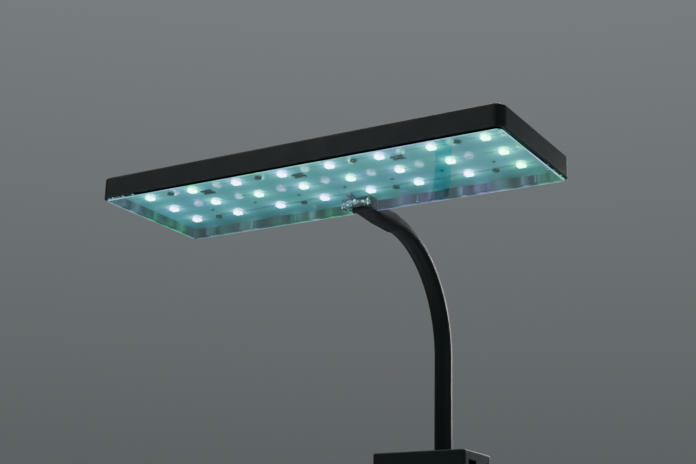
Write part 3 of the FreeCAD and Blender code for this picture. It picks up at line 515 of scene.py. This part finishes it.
def add_solder_pads():
    """The diodes' solder pads and the driver chips' legs."""
    face = board_low.z
    pad_half_width = 0.0016
    chip_length = 0.0085
    chip_half_width = 0.0012
    legs_in_a_row = 4
    leg_pitch = 0.0019
    leg_width = 0.0006
    pads = bmesh.new()
    for x, y in led_places:
        for side in (-1, 1):
            inner = x + side * (LED_CASE / 2 - 0.0002)
            outer = x + side * (LED_CASE / 2 + 0.0007)
            add_block(pads, (inner, y - pad_half_width, face - 0.0005),
                      (outer, y + pad_half_width, face), 0.0002)
    chips_low, chips_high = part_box("driver_chips")
    last_column = chips_high.x - chip_length
    for column in (chips_low.x, (chips_low.x + last_column) / 2, last_column):
        for row in (chips_low.y + chip_half_width, chips_high.y - chip_half_width):
            for leg in range(legs_in_a_row):
                left = column + 0.0010 + leg * leg_pitch
                for side in (-1, 1):
                    add_block(pads, (left, row + side * 0.0011, face - 0.0004),
                              (left + leg_width, row + side * 0.0019, face))
    make_piece("board_solder", pads, solder, "head")


def add_tracks():
    """Printed tracks between the diodes, corner marks round them, and two supply rails."""
    face = board_low.z
    ink = face - 0.00006
    track_half_width = 0.0004
    rail_half_width = 0.0003
    corner = LED_CASE / 2 + 0.0006
    tracks = bmesh.new()
    for x, y in led_places:
        for side in (-1, 1):
            middle = y + side * 0.0010
            add_block(tracks, (x + side * (LED_CASE / 2 + 0.0010), middle - track_half_width, ink),
                      (x + side * (led_pitch_x / 2 - 0.0030), middle + track_half_width, face))
        for side_x in (-1, 1):
            for side_y in (-1, 1):
                tip_x = x + side_x * corner
                tip_y = y + side_y * corner
                add_block(tracks, (tip_x, tip_y, ink),
                          (tip_x - side_x * 0.0014, tip_y - side_y * 0.0002, face))
    for rail_y in (board_low.y + 0.004, board_high.y - 0.022):
        add_block(tracks, (board_low.x + 0.006, rail_y - rail_half_width, ink),
                  (board_high.x - 0.006, rail_y + rail_half_width, face))
    make_piece("board_tracks", tracks, board_print, "head")


def add_lens_ribs():
    """Short upright ribs inside the lens's side walls, which locate the board."""
    build = bmesh.new()
    wall = 0.0022
    rib_half_width = 0.0005
    rib_depth = 0.0009
    rib_floor = lens_low.z + wall
    rib_top = board_low.z - 0.0004
    for half_pitches in (-7, -5.2, -3.1, -1.4, 1.4, 2.3, 4.1, 5.0, 7):
        x = half_pitches * led_pitch_x / 2
        for y, inwards in ((lens_low.y + wall, 1), (lens_high.y - wall, -1)):
            add_block(build, (x - rib_half_width, y, rib_floor),
                      (x + rib_half_width, y + inwards * rib_depth, rib_top), 0.0001)
    make_piece("lens_ribs", build, rib_acrylic, "head")


def add_notch_sealant():
    """The lumpy bead of clear sealant where the two cores enter the lens behind the hinge."""
    build = bmesh.new()
    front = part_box("lead_red")[0].y + 0.0035
    beads = 15
    for step in range(beads):
        share = step / (beads - 1) - 0.5
        x = share * 0.020
        y = front + 0.0046 * (2 * share) ** 2 + random.uniform(-0.0004, 0.0004)
        radius = random.uniform(0.0008, 0.0015)
        made = bmesh.ops.create_icosphere(build, subdivisions=3, radius=radius)["verts"]
        for vertex in made:
            swell = 1 + 0.25 * smooth_noise.noise(vertex.co * 900 + Vector((step, 0, 0)))
            vertex.co = Vector((vertex.co.x * 1.25, vertex.co.y, vertex.co.z * 1.1)) * swell
        bmesh.ops.translate(build, verts=made, vec=(x, y, lens_low.z + 0.0034 + radius * 0.5))
    piece = make_piece("notch_sealant", build, sealant, "head", smooth=True)
    remesh = piece.modifiers.new("merge", "REMESH")
    remesh.mode = "VOXEL"
    remesh.voxel_size = 0.00035
    remesh.use_smooth_shade = True


# ---------------------------------------------------------------- the clamp's detail
def add_screw_thread():
    """The thumb screw with its real 2 mm thread, cut from the shank's outer radius."""
    low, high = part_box("clamp_screw")
    axis_x = (low.x + high.x) / 2
    axis_z = (low.z + high.z) / 2
    crest = (high.x - low.x) / 2
    root = crest - 0.0007
    lead = 0.002
    turn_steps = 40
    ring_steps = 10      # rings in one lead
    plain_front = 0.0040
    clip_from = 0.0022
    clip_to = 0.0036
    clip_root = crest - 0.001
    length = high.y - low.y
    build = bmesh.new()
    rings = []
    count = round(length / lead * ring_steps)
    for ring_index in range(count + 1):
        along = length * ring_index / count
        ring = []
        for step in range(turn_steps):
            angle = 2 * math.pi * step / turn_steps
            phase = (along / lead + step / turn_steps) % 1
            radius = root + (crest - root) * min(1, max(0, 2.4 * abs(2 * phase - 1) - 0.7))
            if along < plain_front:
                radius = clip_root if clip_from < along < clip_to else crest
            ring.append(build.verts.new((axis_x + radius * math.cos(angle), low.y + along,
                                         axis_z + radius * math.sin(angle))))
        rings.append(ring)
    for lower, upper in zip(rings, rings[1:]):
        for step in range(turn_steps):
            following = (step + 1) % turn_steps
            build.faces.new((lower[step], lower[following], upper[following], upper[step]))
    build.faces.new(rings[0])
    build.faces.new(rings[-1])
    thread = make_piece("clamp_screw_thread", build, steel, "thumb_screw", smooth=True)
    thread.data.polygons[-1].use_smooth = False
    thread.data.polygons[-2].use_smooth = False
    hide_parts("clamp_screw")


def carry(node, material):
    """Gives a CAD node that stays visible its finish."""
    slots = nodes[node].data.materials
    slots.clear()
    slots.append(material)
    for polygon in nodes[node].data.polygons:
        polygon.material_index = 0


finishes = {
    "head_housing": black_shell, "lens_cover": acrylic, "lens_gasket": silicone, "led_board": board,
    "heat_spreader": rolled_aluminium, "led_packages": led_case_painted_glow, "led_windows": led_light,
    "driver_chips": chip_case, "board_resistors": resistor_case, "solder_joints": solder,
    "board_screws": dull_steel_and_painted_shade, "lead_red": red_skin, "lead_black": black_skin,
    "hinge_bracket": hinge_shell, "bracket_screws": steel, "hinge_pins": steel,
    "tilt_washers": nylon, "arm_tube": tube_coat, "arm_lead": black_skin, "hinge_neck": hinge_shell,
    "neck_grub_screw": black_steel, "arm_collar": hinge_shell, "retaining_ring": steel,
    "clamp_body": clamp_shell, "base_cover": clamp_shell, "cover_screws": steel,
    "swivel_bush": black_nylon, "thread_insert": brass, "front_jaw_pad": rubber,
    "inlet_socket": chip_case, "inlet_pin": steel, "inlet_nut": steel, "clamp_lead": black_skin,
    "pressure_plate": clamp_shell, "pressure_pad": rubber, "screw_clip": steel,
    "clamp_screw": steel, "thumb_knob": clamp_shell, "knob_cap": hinge_shell,
}

add_camera()
add_stage()
for node, finish in finishes.items():
    carry(node, finish)
add_led_domes()
add_solder_pads()
add_tracks()
add_lens_ribs()
add_notch_sealant()
add_screw_thread()
